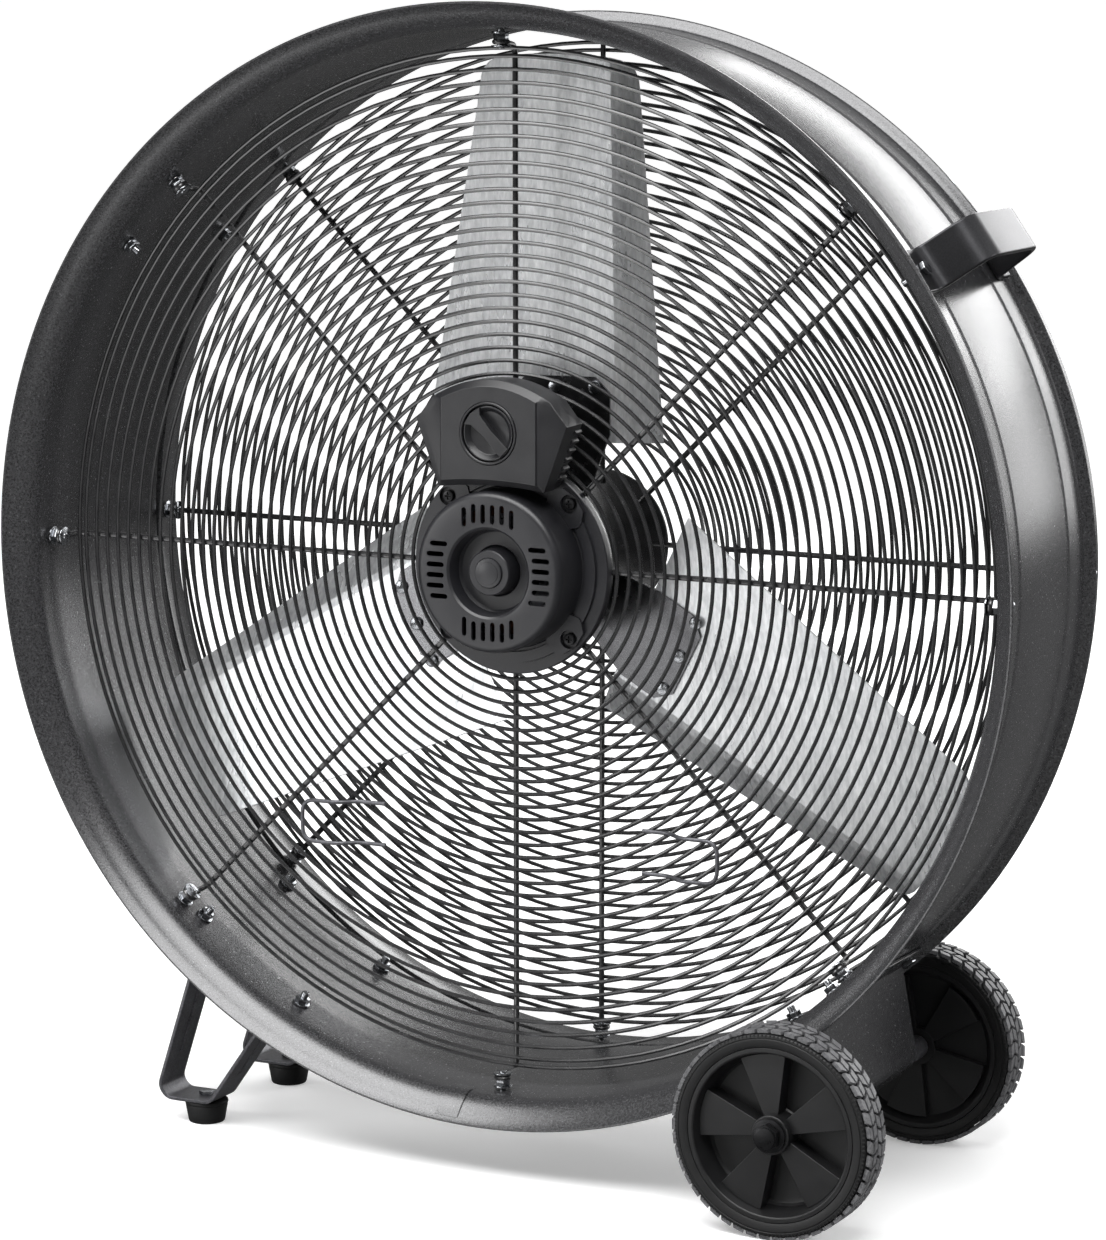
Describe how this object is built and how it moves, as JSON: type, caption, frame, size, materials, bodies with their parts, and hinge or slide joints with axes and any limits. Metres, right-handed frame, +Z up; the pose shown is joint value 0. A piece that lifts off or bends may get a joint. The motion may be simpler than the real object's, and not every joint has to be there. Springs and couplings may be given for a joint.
{
  "type": "drum fan",
  "caption": "Wheeled drum fan: a steel drum with a wire guard at each end, a bladed paddle rotor on a motor in the front guard, a speed knob, grab handles, strip legs and wheels.",
  "frame": {"origin": "on the floor, below the middle of the drum", "axes": "+Z up, the drum's axis along Y, and the motor, the speed knob and the air's way in towards -Y"},
  "size_m": [0.86, 0.3366, 0.901],
  "materials": {
    "drum_coat": "black textured powder coat",
    "guard_coat": "gloss black",
    "handle_coat": "satin black",
    "motor_casting": "satin charcoal paint on aluminium castings",
    "moulding": "moulded matt charcoal",
    "leg_steel": "satin grey paint",
    "blade_sheet": "mill finish sheet",
    "zinc": "bright zinc plate",
    "black_fastener": "black oxide",
    "rubber": "matt black",
    "tyre": "matt black with block tread",
    "lamination": "stacked laminations",
    "copper_winding": "varnished copper wire"
  },
  "bodies": {
    "frame": {"axle": "zinc", "axle_nut_front": "black_fastener", "axle_nut_rear": "black_fastener", "axle_spacer_front": "leg_steel", "axle_spacer_rear": "leg_steel", "bearing_cap": "motor_casting", "bracket_bolt_front_1": "zinc", "bracket_bolt_front_2": "zinc", "bracket_bolt_rear_1": "zinc", "bracket_bolt_rear_2": "zinc", "control_box_base": "moulding", "control_box_cover": "moulding", "cord_gland": "rubber", "cord_hook_left": "guard_coat", "cord_hook_right": "guard_coat", "drum_shell": "drum_coat", "flange_screw_1": "black_fastener", "flange_screw_2": "black_fastener", "flange_screw_3": "black_fastener", "flange_screw_4": "black_fastener", "foot_front": "rubber", "foot_rear": "rubber", "foot_screw_front": "zinc", "foot_screw_rear": "zinc", "front_guard": "guard_coat", "handle_bolt_left_front": "zinc", "handle_bolt_left_rear": "zinc", "handle_bolt_right_front": "zinc", "handle_bolt_right_rear": "zinc", "handle_left": "handle_coat", "handle_right": "handle_coat", "leg_bolt_front_1": "zinc", "leg_bolt_front_2": "zinc", "leg_bolt_rear_1": "zinc", "leg_bolt_rear_2": "zinc", "leg_front": "leg_steel", "leg_rear": "leg_steel", "motor_bearing_front": "zinc", "motor_bearing_rear": "zinc", "motor_front_shield": "motor_casting", "motor_housing": "motor_casting", "motor_rear_shield": "motor_casting", "rear_guard": "guard_coat", "run_capacitor": "zinc", "speed_switch": "moulding", "stator_core": "lamination", "stator_winding": "copper_winding", "wheel_bracket": "drum_coat"},
    "rotor": {"motor_shaft": "zinc", "rotor_core": "lamination", "hub_spider": "guard_coat", "hub_nut": "zinc", "blade_1": "blade_sheet", "blade_2": "blade_sheet", "blade_3": "blade_sheet"},
    "wheel_front": {"wheel_hub_front": "moulding", "tyre_front": "tyre"},
    "wheel_rear": {"wheel_hub_rear": "moulding", "tyre_rear": "tyre"},
    "knob": {"speed_knob": "moulding"}
  },
  "joints": [
    {"name": "fan_spin", "type": "hinge", "parent": "frame", "child": "rotor", "pos_m": [0, 0, 0.471], "axis": [0, 1, 0], "continuous": true},
    {"name": "wheel_front_spin", "type": "hinge", "parent": "frame", "child": "wheel_front", "pos_m": [0.2636, -0.143, 0.08], "axis": [0, 1, 0], "continuous": true},
    {"name": "wheel_rear_spin", "type": "hinge", "parent": "frame", "child": "wheel_rear", "pos_m": [0.2636, 0.143, 0.08], "axis": [0, 1, 0], "continuous": true},
    {"name": "speed_knob_turn", "type": "hinge", "parent": "frame", "child": "knob", "pos_m": [0, -0.09, 0.5775], "axis": [0, 1, 0], "range_deg": [0, 135]}
  ]
}
